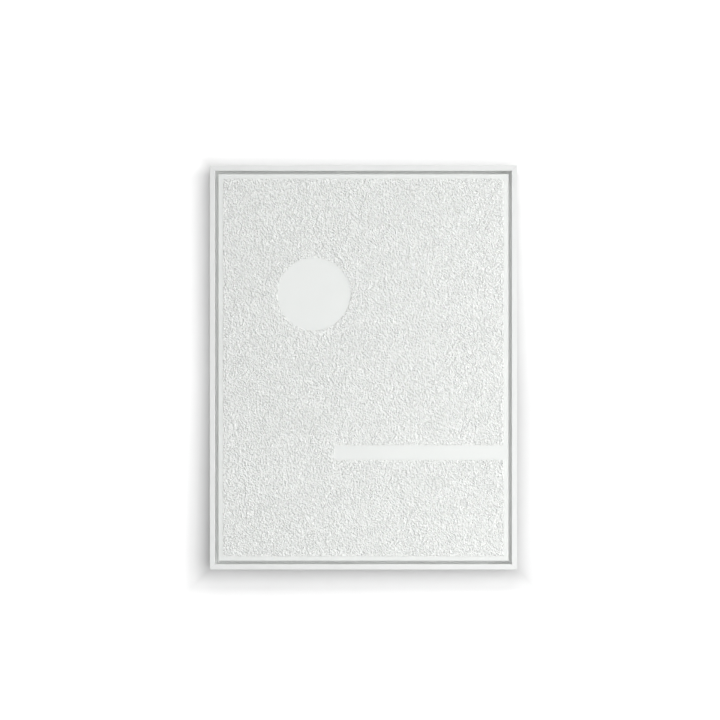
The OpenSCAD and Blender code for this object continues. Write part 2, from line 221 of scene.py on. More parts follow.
def paint_material():
    """Satin white paint on wood: faint grain, orange peel, a hairline at each mitre, and painted light that
    makes it paler in the tray, in the shadow gap.
    """
    n = new_material("frame_paint")
    x, y, z = n.axes()
    from_side = n.math("SUBTRACT", FRAME_HALF_X, n.math("ABSOLUTE", x))
    from_end = n.math("SUBTRACT", FRAME_HALF_Z, n.math("ABSOLUTE", z))
    off_mitre = n.math("ABSOLUTE", n.math("SUBTRACT", from_side, from_end))
    upright = n.math("LESS_THAN", from_side, from_end)
    off_hairline = n.span(off_mitre, HAIRLINE_HALF, HAIRLINE_END, to_low=0, to_high=1, smooth=True)
    inside = n.math("GREATER_THAN", n.math("MINIMUM", from_side, from_end), INSIDE_FROM)
    before_back = n.math("LESS_THAN", y, RAIL_BACK_Y - TRAY_LIGHT_FROM)
    in_tray = n.math("MULTIPLY", inside, before_back)
    # Painted light: the paint turns paler deeper in the tray, lightening the shadow gap
    tray_light = n.span(y, FACE_Y + TRAY_LIGHT_FROM, FACE_Y + TRAY_LIGHT_AT, to_low=0, to_high=in_tray)
    level_grain = n.noise(PAINT_GRAIN, detail=3, roughness=0.6, stretch=LEVEL_GRAIN_STRETCH)
    upright_grain = n.noise(PAINT_GRAIN, detail=3, roughness=0.6, stretch=UPRIGHT_GRAIN_STRETCH)
    grain = n.math(
        "ADD",
        n.math("MULTIPLY", upright, upright_grain),
        n.math("MULTIPLY", n.math("SUBTRACT", 1, upright), level_grain),
    )
    peel = n.noise(2.4 * MM)
    cloudy = n.noise(90 * MM)
    tone = n.blend(n.across(cloudy), *PAINT_TONES)
    tone = n.blend(tray_light, tone, TRAY_LIGHT_TONE)
    tone = n.blend(n.span(grain, 0.3, 0.75, to_low=0, to_high=0.06), tone, GRAIN_TONE)
    tone = n.blend(n.span(off_hairline, 0, 1, to_low=0.45, to_high=0), tone, HAIRLINE_TONE)
    relief = n.bump(off_hairline, depth=0.2 * MM)
    relief = n.bump(peel, depth=0.05 * MM, under=relief)
    relief = n.bump(grain, depth=0.02 * MM, under=relief)
    return n.principled(Base_Color=tone, Roughness=n.across(peel, 0.48, 0.56), Normal=relief)


# Wood: the stretch along the piece of its slow changes and of its fibres
SLOW_SHARE = 0.05
FIBRE_SHARE = 0.025

# Its growth rings: how far they wander, how late each darkens, where in its gap it ends, and how dark it is
RING_WANDER = 22 * MM
RING_POWER = 2.6
RING_END_SHARE = 0.93
RING_TONE_SHARE = 0.85

# The tones of its pores and its pale blotches, as shares of the late and the early growth's
PORE_TONE_SHARE = 0.72
BLOTCH_TONE_SHARE = 1.12

# The shift of its noises from one seed to the next
SEED_SHIFT = (0.37, 0.11, 0.23)


def drawn_out(along, share):
    """A stretch of this share along one axis."""
    return tuple(share if axis == along else 1.0 for axis in "XYZ")


def wood_material(name, along, heart, early, late, ring_gap, seed):
    """Planed wood: rings round a far heart line, drawn out along the piece, with fine fibre and pores."""
    n = new_material(name)
    slow = drawn_out(along, SLOW_SHARE)
    shift = tuple(seed * part for part in SEED_SHIFT)
    wander = n.noise(60 * MM, detail=3, roughness=0.55, stretch=slow, shift=shift)
    places = zip("XYZ", n.axes(), heart)
    off_heart = [n.math("SUBTRACT", value, middle) for axis, value, middle in places if axis != along]
    radius = n.math("SQRT", n.math("ADD", *(n.math("MULTIPLY", off, off) for off in off_heart)))
    swelled = n.math("MULTIPLY_ADD", n.math("SUBTRACT", wander, 0.5), RING_WANDER, radius)
    turn = n.math("FRACT", n.math("DIVIDE", swelled, ring_gap))
    unbroken = n.span(turn, RING_END_SHARE, 1.0, to_low=1, to_high=0, smooth=True)
    ring = n.math("MULTIPLY", n.math("POWER", turn, RING_POWER), unbroken)
    fibre_stretch = drawn_out(along, FIBRE_SHARE)
    fibre = n.noise(0.7 * MM, detail=4, roughness=0.65, stretch=fibre_stretch, shift=shift)
    blotch = n.noise(120 * MM, stretch=slow, shift=shift)
    pore_tone = tuple(PORE_TONE_SHARE * part for part in late)
    blotch_tone = tuple(min(1.0, BLOTCH_TONE_SHARE * part) for part in early)
    tone = n.blend(n.math("MULTIPLY", ring, RING_TONE_SHARE), early, late)
    tone = n.blend(n.span(fibre, 0.45, 0.8, to_low=0, to_high=0.35), tone, pore_tone)
    tone = n.blend(n.span(blotch, 0.35, 0.7, to_low=0, to_high=0.3), tone, blotch_tone)
    relief = n.bump(ring, depth=0.04 * MM)
    relief = n.bump(fibre, depth=0.05 * MM, under=relief)
    rough = n.span(ring, 0, 1, to_low=0.66, to_high=0.5)
    return n.principled(Base_Color=tone, Roughness=rough, Normal=relief)


# Metal: its rubbing marks' grain, their depth, plain and polished, and their stretch on an upright piece
RUBBED_GRAIN = 0.4 * MM
RUBBED_DEPTH = 0.01 * MM
POLISHED_DEPTH = 0.004 * MM
UPRIGHT_RUBBED_STRETCH = (1, 1, 0.06)

# How far its roughness goes below and above the given one, and how much clouded spots add
SMOOTHER = 0.06
ROUGHER = 0.08
SPOT_ROUGHER = 0.1


def metal_material(name, tone, dull_tone, roughness, stretch=(1, 1, 1), depth=RUBBED_DEPTH):
    """Plated or plain metal: fine rubbing marks and small clouded spots."""
    n = new_material(name)
    marks = n.noise(RUBBED_GRAIN, detail=3, roughness=0.6, stretch=stretch)
    spots = n.noise(3 * MM, detail=3, roughness=0.6)
    colour = n.blend(n.span(spots, 0.42, 0.7, to_low=0, to_high=0.8, smooth=True), tone, dull_tone)
    marked = n.across(marks, roughness - SMOOTHER, roughness + ROUGHER)
    clouded = n.span(spots, 0.5, 0.8, to_low=0, to_high=SPOT_ROUGHER)
    rough = n.math("ADD", marked, clouded)
    return n.principled(Base_Color=colour, Metallic=1.0, Roughness=rough, Normal=n.bump(marks, depth))


# Rubber: clean and dusty
RUBBER_TONES = ((0.5, 0.5, 0.485), (0.62, 0.62, 0.6))


def rubber_material():
    """Soft grey rubber with a fine moulded grain."""
    n = new_material("bumper_rubber")
    grain = n.noise(0.35 * MM, detail=2, roughness=0.6)
    dust = n.noise(2.5 * MM, detail=3, roughness=0.6)
    tone = n.blend(n.span(dust, 0.45, 0.75, to_low=0, to_high=0.7), *RUBBER_TONES)
    relief = n.bump(grain, depth=0.03 * MM)
    return n.principled(Base_Color=tone, Roughness=n.across(grain, 0.5, 0.66), Normal=relief)


# Cloth: its weave, with two threads to each turn, and its slubs, with their stretch along weft and warp
WEAVE_TURN = 1.1 * MM
SLUB = 2.2 * MM
WEFT_STRETCH = (0.04, 1, 1)
WARP_STRETCH = (1, 1, 0.04)
WEAVE_SHARE = 0.7
SLUB_SHARE = 0.4

PRIMER_TONES = ((0.826, 0.846, 0.828), (0.842, 0.860, 0.844))
# Painted light: a paler tone on the cloth's sides, which lightens the shadow gap
SIDE_LIGHT_TONE = (0.935, 0.950, 0.936)
COTTON_TONES = ((0.70, 0.655, 0.555), (0.755, 0.71, 0.61))
SLUB_TONE = (0.60, 0.55, 0.45)
# Painted shade in the weave's hollows, between the threads
THREAD_HOLLOW_SHADE_TONE = (0.47, 0.42, 0.33)


def weave_height(n):
    """Plain weave over the X and Z of the cloth: warp and weft pass over each other by turns."""
    x, y, z = n.axes()
    turns = 2 * math.pi / WEAVE_TURN
    over = n.math("SINE", n.math("MULTIPLY", n.math("ADD", x, y), turns))
    under = n.math("SINE", n.math("MULTIPLY", n.math("ADD", z, y), turns))
    return n.math("MULTIPLY_ADD", n.math("MULTIPLY", over, under), 0.5, 0.5)


def primed_material():
    """White primer rolled on cotton duck: it nearly fills the weave, with painted light that makes it paler
    on the sides, in the shadow gap.
    """
    n = new_material("primed_canvas")
    rolled = n.noise(4 * MM, detail=3, roughness=0.55)
    cloudy = n.noise(70 * MM)
    _, y, _ = n.axes()
    # Painted light on the sides, from past the rounded front edge
    side = n.span(y, CLOTH_FRONT_Y + FRONT_EDGE_R, CLOTH_FRONT_Y + 2 * FRONT_EDGE_R)
    tone = n.blend(n.across(cloudy), *PRIMER_TONES)
    tone = n.blend(side, tone, SIDE_LIGHT_TONE)
    relief = n.bump(rolled, depth=0.06 * MM)
    relief = n.bump(weave_height(n), depth=0.02 * MM, under=relief)
    return n.principled(Base_Color=tone, Roughness=n.across(rolled, 0.72, 0.82), Normal=relief)


def raw_cloth_material():
    """The cloth's bare back: warm cotton duck with slubs, and painted shade between its threads."""
    n = new_material("raw_canvas")
    weave = weave_height(n)
    warp_slub = n.noise(SLUB, stretch=WARP_STRETCH)
    weft_slub = n.noise(SLUB, stretch=WEFT_STRETCH)
    slub = n.math("MAXIMUM", warp_slub, weft_slub)
    cloudy = n.noise(60 * MM, detail=3)
    tone = n.blend(n.across(cloudy), *COTTON_TONES)
    tone = n.blend(n.span(slub, 0.52, 0.78, to_low=0, to_high=0.5), tone, SLUB_TONE)
    # Painted shade: darker where the weave is low, between the threads
    tone = n.blend(n.span(weave, 0, 0.35, to_low=0.35, to_high=0), tone, THREAD_HOLLOW_SHADE_TONE)
    height = n.math(
        "ADD",
        n.math("MULTIPLY", weave, WEAVE_SHARE),
        n.math("MULTIPLY", n.math("ADD", warp_slub, weft_slub), SLUB_SHARE),
    )
    relief = n.bump(height, depth=0.16 * MM)
    return n.principled(
        Base_Color=tone, Roughness=0.9, Sheen_Weight=0.15, Sheen_Roughness=0.5, Normal=relief
    )


# Plaster: the two tones that it clouds between, that of its dust, and the painted shade in its pores
PLASTER_TONES = ((0.940, 0.957, 0.938), (0.957, 0.972, 0.954))
DUST_TONE = (0.78, 0.80, 0.775)
PORE_SHADE_TONE = (0.62, 0.64, 0.62)


def plaster_material():
    """Matt white plaster: crumbs finer than those that the mesh holds, painted shade in the pores between
    them, dust and a cloudy tone.
    """
    n = new_material("plaster")
    crumbs = n.noise(3.1 * MM, detail=0)
    dust = n.noise(0.8 * MM, detail=2, roughness=0.6)
    cloudy = n.noise(45 * MM, detail=3)
    tone = n.blend(n.across(cloudy), *PLASTER_TONES)
    tone = n.blend(n.span(dust, 0.5, 0.85, to_low=0, to_high=0.15), tone, DUST_TONE)
    # Painted shade: darker where the crumbs' bump is low, in the pores
    tone = n.blend(n.span(crumbs, 0.3, 0.5, to_low=0.25, to_high=0), tone, PORE_SHADE_TONE)
    relief = n.bump(dust, depth=0.2 * MM)
    relief = n.bump(crumbs, depth=4.8 * MM, under=relief)
    return n.principled(Base_Color=tone, Roughness=n.across(dust, 0.84, 0.94), Normal=relief)


def put_on(material, *nodes):
    """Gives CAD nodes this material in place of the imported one."""
    for node in nodes:
        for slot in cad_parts[node].material_slots:
            slot.material = material


def new_piece(name, mesh, replaced):
    """A piece that stands for a CAD node of the frame's fixed body."""
    piece = bpy.data.objects.new(name, mesh)
    bpy.context.scene.collection.objects.link(piece)
    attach(piece, "root")
    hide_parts(replaced)
    return piece


def smooth_but(mesh, degrees):
    """Smooth shading, with sharp edges where faces meet at more than this angle."""
    mesh.polygons.foreach_set("use_smooth", [True] * len(mesh.polygons))
    mesh.set_sharp_from_angle(angle=math.radians(degrees))


# The cloth's mesh: the insets of its rows on the front, on the back, and inside from the back
FRONT_ROWS = (30 * MM, 8 * MM)
BACK_ROWS = (8 * MM, 16 * MM, 22 * MM, 28 * MM, 33 * MM)
INNER_ROWS = (33 * MM, 16 * MM, CLOTH_T)

# The steps of its edges and corners, and of its level and its upright sides
FRONT_EDGE_STEPS = 8
BACK_EDGE_STEPS = 4
INNER_EDGE_STEPS = 4
CORNER_STEPS = 6
SIDE_STEPS = (76, 100)

# The waves of its cut edge. Each has its length over one radian, its share of the wander, the phase that
# each further side adds, and the phase that it has on the first side.
CUT_WANDER = 0.25 * MM
CUT_WAVES = (
    (7.3 * MM, 1.0, 1, 0),
    (3.1 * MM, 0.6, 2, 0),
    (19 * MM, 0.8, 0, 1),
)
CUT_SHARP_DEGREES = 50


def turned(along, out, turn):
    """A point of the bottom side, given along it and outwards, turned to another side."""
    x, z = along, -out
    c, s = round(math.cos(turn)), round(math.sin(turn))
    return c * x - s * z, s * x + c * z


def ring_points(inset, y, wave=None):
    """Closed loop round the cloth at one depth and at an inset from its outer faces."""
    corner = max(CORNER_R - inset, 0)
    keep = max(inset, CORNER_R)
    half = (CLOTH_HALF_X - keep, CLOTH_HALF_Z - keep)
    points = []
    # Anticlockwise in the front view, from the bottom: each side's straight run, then the corner after it
    for side in range(SIDES):
        run = half[side % 2]
        out = half[(side + 1) % 2] + corner
        count = SIDE_STEPS[side % 2]
        turn = side * QUARTER_TURN
        for i in range(count):
            along = run * (2 * i / count - 1)
            ease = wave(side, along) if wave else 0
            points.append(turned(along, out - ease, turn))
        for step in range(CORNER_STEPS):
            a = step / CORNER_STEPS * QUARTER_TURN
            points.append(turned(run + corner * math.sin(a), out - corner + corner * math.cos(a), turn))
    return [Vector((px, y, pz)) for px, pz in points]


def cut_edge_wave(side, along):
    """How far the cut edge of the turned-over cloth wanders."""
    wander = 0
    for radian, share, side_phase, first_phase in CUT_WAVES:
        wander += share * math.sin(along / radian + side_phase * side + first_phase)
    return CUT_WANDER * wander


def quarter_arc(radius, steps):
    """Points of a rounded edge between two faces: how far each is from the one face and from the other."""
    angles = [i / steps * QUARTER_TURN for i in range(steps + 1)]
    return [(radius * (1 - math.sin(a)), radius * (1 - math.cos(a))) for a in angles]


def cloth_profile():
    """Inset and depth of the cloth's section: outside from front to back, inside from back to front."""
    outer = [(inset, CLOTH_FRONT_Y) for inset in FRONT_ROWS]
    outer += [(side, CLOTH_FRONT_Y + face) for side, face in quarter_arc(FRONT_EDGE_R, FRONT_EDGE_STEPS)]
    outer.append((0.0, (CLOTH_FRONT_Y + CLOTH_BACK_Y) / 2))
    outer += [(side, CLOTH_BACK_Y - face) for face, side in quarter_arc(BACK_EDGE_R, BACK_EDGE_STEPS)]
    outer += [(inset, CLOTH_BACK_Y) for inset in BACK_ROWS]
    inner = [(inset, CLOTH_BACK_Y - CLOTH_T) for inset in INNER_ROWS]
    inner_edge = quarter_arc(FRONT_EDGE_R - CLOTH_T, INNER_EDGE_STEPS)
    inner += [(CLOTH_T + side, CLOTH_FRONT_Y + CLOTH_T + face) for side, face in reversed(inner_edge)]
    return outer, inner


def build_cloth():
    """One sheet over the stretcher: front, rounded edges, sides, turnover and folded corners."""
    bm = bmesh.new()
    outer, inner = cloth_profile()
    cut = [(TURNOVER, CLOTH_BACK_Y), (TURNOVER, CLOTH_BACK_Y - CLOTH_T)]
    loops = [ring_points(inset, y) for inset, y in outer]
    loops += [ring_points(inset, y, cut_edge_wave) for inset, y in cut]
    first_inner = len(loops)
    loops += [ring_points(inset, y) for inset, y in inner]
    rings = [[bm.verts.new(point) for point in loop] for loop in loops]
    count = len(rings[0])
    for r in range(len(rings) - 1):
        raw = r + 1 >= first_inner
        for i in range(count):
            j = (i + 1) % count
            face = bm.faces.new((rings[r][i], rings[r][j], rings[r + 1][j], rings[r + 1][i]))
            face.material_index = 1 if raw else 0
    bm.faces.new(list(reversed(rings[0])))
    back_cap = bm.faces.new(rings[-1])
    back_cap.material_index = 1
    bmesh.ops.remove_doubles(bm, verts=bm.verts, dist=0.001 * MM)
    for side_x in (-1, 1):
        for side_z in (-1, 1):
            add_corner_fold(bm, side_x, side_z)
    bmesh.ops.recalc_face_normals(bm, faces=bm.faces)
    mesh = bpy.data.meshes.new("canvas_wrap")
    bm.to_mesh(mesh)
    bm.free()
    mesh.materials.append(primed_material())
    mesh.materials.append(raw_cloth_material())
    smooth_but(mesh, CUT_SHARP_DEGREES)
    return new_piece("canvas_wrap", mesh, "canvas_cloth")


# Corner folds: their ends along the mitre, their reach off it, their height, and their depth in the cloth
FOLD_NEAR = 20.9 * MM
FOLD_FAR = 36.2 * MM
FOLD_REACH = 15 * MM
FOLD_RISE = 0.8 * MM
FOLD_SINK = 0.2 * MM
FOLD_STEPS = 8

# How they thin away from the mitre, and the height and the steps of their start at the near end
FOLD_POWER = 1.5
FOLD_START_SHARE = 0.35
FOLD_START_STEPS = 2

# The height of the mitre's own edge, and how much their reach wanders
FOLD_MITRE_SHARE = 0.8
FOLD_RAGGED_SHARE = 0.3


def grid_rim(grid):
    """The outline of a grid of points, once round."""
    far_side = [row[-1] for row in grid[1:]]
    near_side = [row[0] for row in grid[-2:0:-1]]
    return grid[0] + far_side + grid[-1][-2::-1] + near_side


def add_corner_fold(bm, side_x, side_z):
    """The tucked layers at one back corner: a thin wedge whose thick edge lies along the mitre."""

    def at(a, b, y):
        return bm.verts.new((side_x * (CLOTH_HALF_X - a), y, side_z * (CLOTH_HALF_Z - b)))

    top, bottom = [], []
    for i in range(FOLD_STEPS + 1):
        b = FOLD_NEAR + (FOLD_FAR - FOLD_NEAR) * i / FOLD_STEPS
        start = FOLD_START_SHARE + (1 - FOLD_START_SHARE) * min(1, i / FOLD_START_STEPS)
        ragged = 1 - FOLD_RAGGED_SHARE + FOLD_RAGGED_SHARE * math.sin(i)
        row, under = [], []
        for j in range(FOLD_STEPS + 1):
            share = j / FOLD_STEPS
            height = FOLD_RISE * (1 - share) ** FOLD_POWER * start
            if j == 0:
                height *= FOLD_MITRE_SHARE
            a = b + share * FOLD_REACH * ragged
            row.append(at(a, b, CLOTH_BACK_Y + height))
            under.append(at(a, b, CLOTH_BACK_Y - FOLD_SINK))
        top.append(row)
        bottom.append(under)
    for i in range(FOLD_STEPS):
        for j in range(FOLD_STEPS):
            bm.faces.new((top[i][j], top[i][j + 1], top[i + 1][j + 1], top[i + 1][j]))
            bm.faces.new((bottom[i][j], bottom[i + 1][j], bottom[i + 1][j + 1], bottom[i][j + 1]))
    rim_top, rim_low = grid_rim(top), grid_rim(bottom)
    for i in range(len(rim_top)):
        j = (i + 1) % len(rim_top)
        bm.faces.new((rim_top[i], rim_top[j], rim_low[j], rim_low[i]))


# Plaster: the step of its grid, and how many steps the grid is longer than the coat
GRID_STEP = 2.2 * MM
GRID_SPARE = 5

# Its thickness without relief, its least and its full thickness, and the depth of its relief
BASE_T = 1.25 * MM
LEAST_T = 0.25 * MM
FULL_T = CLOTH_FRONT_Y - PLASTER_FRONT_Y
RELIEF = 0.42 * MM
BROAD_SHARE = 0.35

# The waves of its relief and of its outline: their length, and the spread of their lengths
FINE_WAVES = (7 * MM, 0.3)
BROAD_WAVES = (16 * MM, 0.5)
OUTLINE_WAVES = (7 * MM, 0.4)

# How far its outline wanders, and how many times that it stays inside the drawn one
OUTLINE_WANDER = 0.35 * MM
OUTLINE_INSET = 1.2

# Its thickness and relief at its outline, as shares of those at EDGE_REACH inside it and beyond
EDGE_REACH = 1.6 * MM
EDGE_T_SHARE = 0.7
EDGE_RELIEF_SHARE = 0.5

# Its cut rim: the height that it keeps, how near to a grid point it may come, and how deep its walls go
RIM_SHARE = 0.85
LEAST_CUT_SHARE = 0.04
WALL_SINK = 0.05 * MM
RIM_SHARP_DEGREES = 60


def filtered_noise(shape, rng, waves):
    """Noise over the grid with a spread of one, its waves gathered about one length."""
    length, spread = waves
    white = rng.standard_normal(shape)
    fz = np.fft.fftfreq(shape[0])[:, None]
    fx = np.fft.fftfreq(shape[1])[None, :]
    f = np.sqrt(fx * fx + fz * fz)
    f[0, 0] = 1
    weight = np.exp(-(np.log(f * (length / GRID_STEP)) / spread) ** 2)
    weight[0, 0] = 0
    field = np.fft.ifft2(np.fft.fft2(white) * weight).real
    return field / field.std()


def plaster_distance(x, z):
    """How far a point lies inside the plaster's outline, and below zero outside it."""
    outer = np.minimum(PLASTER_HALF_X - np.abs(x), PLASTER_HALF_Z - np.abs(z))
    disc = np.hypot(x - DISC_X, z - DISC_Z) - DISC_R
    band_x = BAND_LOW_X - x
    band_z = np.maximum(z - BAND_HIGH_Z, BAND_LOW_Z - z)
    beside = np.minimum(np.maximum(band_x, band_z), 0)
    band = np.hypot(np.maximum(band_x, 0), np.maximum(band_z, 0)) + beside
    return np.minimum(np.minimum(outer, disc), band)


def grid_line(half):
    """The grid's places along one axis, from end to end of the plaster and a little past it."""
    count = int(2 * half / GRID_STEP) + GRID_SPARE
    return (np.arange(count) - (count - 1) / 2) * GRID_STEP


def build_plaster():
    """The plaster coat: a crumbly relief inside an uneven outline, with walls down to the cloth."""
    rng = np.random.default_rng(SEED)
    xs, zs = grid_line(PLASTER_HALF_X), grid_line(PLASTER_HALF_Z)
    x, z = np.meshgrid(xs, zs)
    fine = filtered_noise(x.shape, rng, FINE_WAVES)
    broad = filtered_noise(x.shape, rng, BROAD_WAVES)
    ragged = filtered_noise(x.shape, rng, OUTLINE_WAVES)
    inside = plaster_distance(x, z) + OUTLINE_WANDER * (ragged - OUTLINE_INSET)
    edge = np.clip(inside / EDGE_REACH, 0, 1)
    base = BASE_T * (EDGE_T_SHARE + (1 - EDGE_T_SHARE) * edge * (2 - edge))
    depth = RELIEF * (EDGE_RELIEF_SHARE + (1 - EDGE_RELIEF_SHARE) * edge)
    height = np.clip(base + depth * (fine + BROAD_SHARE * broad), LEAST_T, FULL_T)
    return plaster_mesh(xs, zs, inside, height)


def plaster_mesh(xs, zs, inside, height):
    """Cuts the grid along the outline, where inside is zero, and adds walls and a flat back."""
    bm = bmesh.new()
    corner, crossing = {}, {}

    def at_corner(i, j):
        if (i, j) not in corner:
            corner[i, j] = bm.verts.new((xs[j], CLOTH_FRONT_Y - height[i, j], zs[i]))
        return corner[i, j]

    def at_crossing(i0, j0, i1, j1):
        key = (i0, j0, i1, j1) if (i0, j0) < (i1, j1) else (i1, j1, i0, j0)
        if key not in crossing:
            i0, j0, i1, j1 = key
            a, b = inside[i0, j0], inside[i1, j1]
            t = min(max(a / (a - b), LEAST_CUT_SHARE), 1 - LEAST_CUT_SHARE)
            px = xs[j0] + t * (xs[j1] - xs[j0])
            pz = zs[i0] + t * (zs[i1] - zs[i0])
            h = height[i0, j0] if a > 0 else height[i1, j1]
            crossing[key] = bm.verts.new((px, CLOTH_FRONT_Y - RIM_SHARE * h, pz))
        return crossing[key]

    solid = inside > 0
    some = solid[:-1, :-1] | solid[1:, :-1] | solid[:-1, 1:] | solid[1:, 1:]
    rim = []
    for i, j in np.argwhere(some):
        cells = ((i, j), (i, j + 1), (i + 1, j + 1), (i + 1, j))
        marks = [solid[c] for c in cells]
        if all(marks):
            bm.faces.new([at_corner(*c) for c in cells])
            continue
        loop, cut = [], []
        for k in range(len(cells)):
            after = (k + 1) % len(cells)
            if marks[k]:
                loop.append(at_corner(*cells[k]))
                cut.append(False)
            if marks[k] != marks[after]:
                loop.append(at_crossing(*cells[k], *cells[after]))
                cut.append(True)
        bm.faces.new(loop)
        for k in range(len(loop)):
            after = (k + 1) % len(loop)
            if cut[k] and cut[after]:
                rim.append((loop[k], loop[after]))
    lower = {}
    for pair in rim:
        for vert in pair:
            if vert not in lower:
                lower[vert] = bm.verts.new((vert.co.x, CLOTH_FRONT_Y + WALL_SINK, vert.co.z))
    for a, b in rim:
        bm.faces.new((b, a, lower[a], lower[b]))
    low_edges = [bm.edges.get((lower[a], lower[b])) for a, b in rim]
    bmesh.ops.triangle_fill(bm, edges=low_edges, use_beauty=False, normal=(0, 1, 0))
    bmesh.ops.recalc_face_normals(bm, faces=bm.faces)
    mesh = bpy.data.meshes.new("plaster_relief")
    bm.to_mesh(mesh)
    bm.free()
    mesh.materials.append(plaster_material())
    smooth_but(mesh, RIM_SHARP_DEGREES)
    return new_piece("plaster_relief", mesh, "plaster_coat")


RAILS = ("frame_top_rail", "frame_right_rail", "frame_bottom_rail", "frame_left_rail")

# Pine bars and beech keys: their early and late growth, the gap of their rings, and their heart line.
# A bar's is given from its own middle.
PINE_BARS = {
    "stretcher_top_bar": "X",
    "stretcher_right_bar": "Z",
    "stretcher_bottom_bar": "X",
    "stretcher_left_bar": "Z",
    "stretcher_cross_bar": "X",
}
PINE_TONES = ((0.80, 0.64, 0.42), (0.62, 0.42, 0.22))
PINE_RING_GAP = 3.4 * MM
PINE_HEART = (18 * MM, 45 * MM, -14 * MM)
BEECH_TONES = ((0.74, 0.55, 0.38), (0.58, 0.40, 0.26))
BEECH_RING_GAP = 1.9 * MM
BEECH_HEART = (0, 30 * MM, 0)
BEECH_SEED = 9

# Metals: their clean and their dull tone
NAIL_TONES = ((0.36, 0.37, 0.39), (0.24, 0.24, 0.25))
STAPLE_TONES = ((0.72, 0.73, 0.74), (0.55, 0.56, 0.57))
SCREW_TONES = ((0.66, 0.65, 0.61), (0.50, 0.49, 0.46))
STRAP_TONES = ((0.68, 0.68, 0.66), (0.54, 0.54, 0.52))
RING_TONES = ((0.80, 0.80, 0.78), (0.68, 0.68, 0.66))


def finish_cad_nodes():
    """Procedural finishes for the nodes that stay as imported."""
    put_on(paint_material(), *RAILS)
    for seed, (node, along) in enumerate(PINE_BARS.items()):
        low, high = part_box(node)
        heart = [middle + off for middle, off in zip((low + high) / 2, PINE_HEART)]
        put_on(wood_material("pine_" + node, along, heart, *PINE_TONES, PINE_RING_GAP, seed), node)
    beech = wood_material("beech_keys", "Z", BEECH_HEART, *BEECH_TONES, BEECH_RING_GAP, BEECH_SEED)
    put_on(beech, "corner_keys", "cross_bar_keys")
    nails = metal_material("nail_steel", *NAIL_TONES, roughness=0.42)
    put_on(nails, "corner_v_nails")
    staples = metal_material("staple_steel", *STAPLE_TONES, roughness=0.32)
    put_on(staples, "canvas_staples")
    screws = metal_material("zinc_screws", *SCREW_TONES, roughness=0.32)
    put_on(screws, "canvas_fixing_screws", "hanger_screws")
    straps = metal_material("hanger_steel", *STRAP_TONES, roughness=0.3, stretch=UPRIGHT_RUBBED_STRETCH)
    put_on(straps, "hanger_strap_left", "hanger_strap_right")
    rings = metal_material("ring_steel", *RING_TONES, roughness=0.16, depth=POLISHED_DEPTH)
    put_on(rings, "hanger_ring_left", "hanger_ring_right")
    put_on(rubber_material(), "wall_bumper_left", "wall_bumper_right")


# Stage: a wall just behind the bumpers, open behind the frame, and a floor below the view
WALL_Y = 0.6 * MM
FLOOR_Z = -1.05
STAGE_HALF = 14.0
HOLE_INSET = 20 * MM
# The inset of a black strip that puts shade in the space behind the frame
SHADE_STRIP_INSET = 3 * MM

# Its tones above on the left and below on the right, where painted shade deepens the frame's shadow, and
# how much X counts in that beside Z
WALL_SHADE_TONES = (0.875, 0.66)
FLOOR_TONES = (0.7, 0.7)
SIDE_SHARE = 0.7

# Its glow, painted light which makes it white off the frame, lets the frame's shadow fade into the white
# and lightens that shadow just above the frame's top edge: how far out it grows, and to what strength
WALL_LIFT = 0.28
FLOOR_LIFT = 0.24
LIFT_REACH = 42 * MM
FAR_LIFT = 0.2
FAR_REACH = 70 * MM
TOP_LIFT = 0.13

# The corners of a rectangle in pairs, round it
CORNER_PAIRS = [(i, (i + 1) % SIDES) for i in range(SIDES)]


def seen_rays(n):
    """One for the rays that show a background: to the camera, by reflection or through glass."""
    path = n.add("ShaderNodeLightPath").outputs
    by_way = n.math("MAXIMUM", path["Is Glossy Ray"], path["Is Transmission Ray"])
    return n.math("MAXIMUM", path["Is Camera Ray"], by_way)


def one_sided(n, shader):
    """The shader on a face's front, and nothing at all on its back."""
    back = n.add("ShaderNodeNewGeometry").outputs["Backfacing"]
    clear = n.add("ShaderNodeBsdfTransparent").outputs[0]
    return n.surface(n.add("ShaderNodeMixShader", None, {0: back, 1: shader, 2: clear}).outputs[0])


def grey(level):
    """A neutral colour."""
    return (level, level, level)


def stage_material(name, upper_level, lower_level, lift):
    """Pale matt paint with a front only: painted shade makes it a little darker below and on the right, and
    a glow of painted light makes it white off the frame.
    """
    n = new_material(name)
    x, _, z = n.axes()
    # Painted shade: the wall is darker below and on the right, deepening the frame's shadow there
    slope = n.math("SUBTRACT", n.math("MULTIPLY", x, SIDE_SHARE), z)
    painted_shade_share = n.span(slope, -SIDE_SHARE * FRAME_HALF_X, FRAME_HALF_X)
    tone = n.blend(painted_shade_share, grey(upper_level), grey(lower_level))
    matt = n.add("ShaderNodeBsdfDiffuse", None, {"Color": tone}).outputs[0]
    beside = n.math("SUBTRACT", n.math("ABSOLUTE", x), FRAME_HALF_X)
    past_end = n.math("SUBTRACT", n.math("ABSOLUTE", z), FRAME_HALF_Z)
    away = n.math("MAXIMUM", beside, past_end)
    # Painted light: the glow grows with distance from the frame, shaping the fade of its shadow
    near_lift = n.span(away, 0, LIFT_REACH, to_low=0, to_high=lift, smooth=True)
    far_lift = n.span(away, LIFT_REACH, FAR_REACH, to_low=0, to_high=FAR_LIFT)
    top_z = FRAME_HALF_Z - HOLE_INSET
    # Painted light: more glow just above the frame's top edge lightens its shadow there
    top_lift = n.span(z, top_z, FRAME_HALF_Z, to_low=0, to_high=TOP_LIFT, smooth=True)
    total = n.math("ADD", near_lift, n.math("ADD", far_lift, top_lift))
    seen_lift = n.math("MULTIPLY", seen_rays(n), total)
    glow = n.add("ShaderNodeEmission", None, {"Strength": seen_lift}).outputs[0]
    return one_sided(n, n.add("ShaderNodeAddShader", None, {0: matt, 1: glow}).outputs[0])


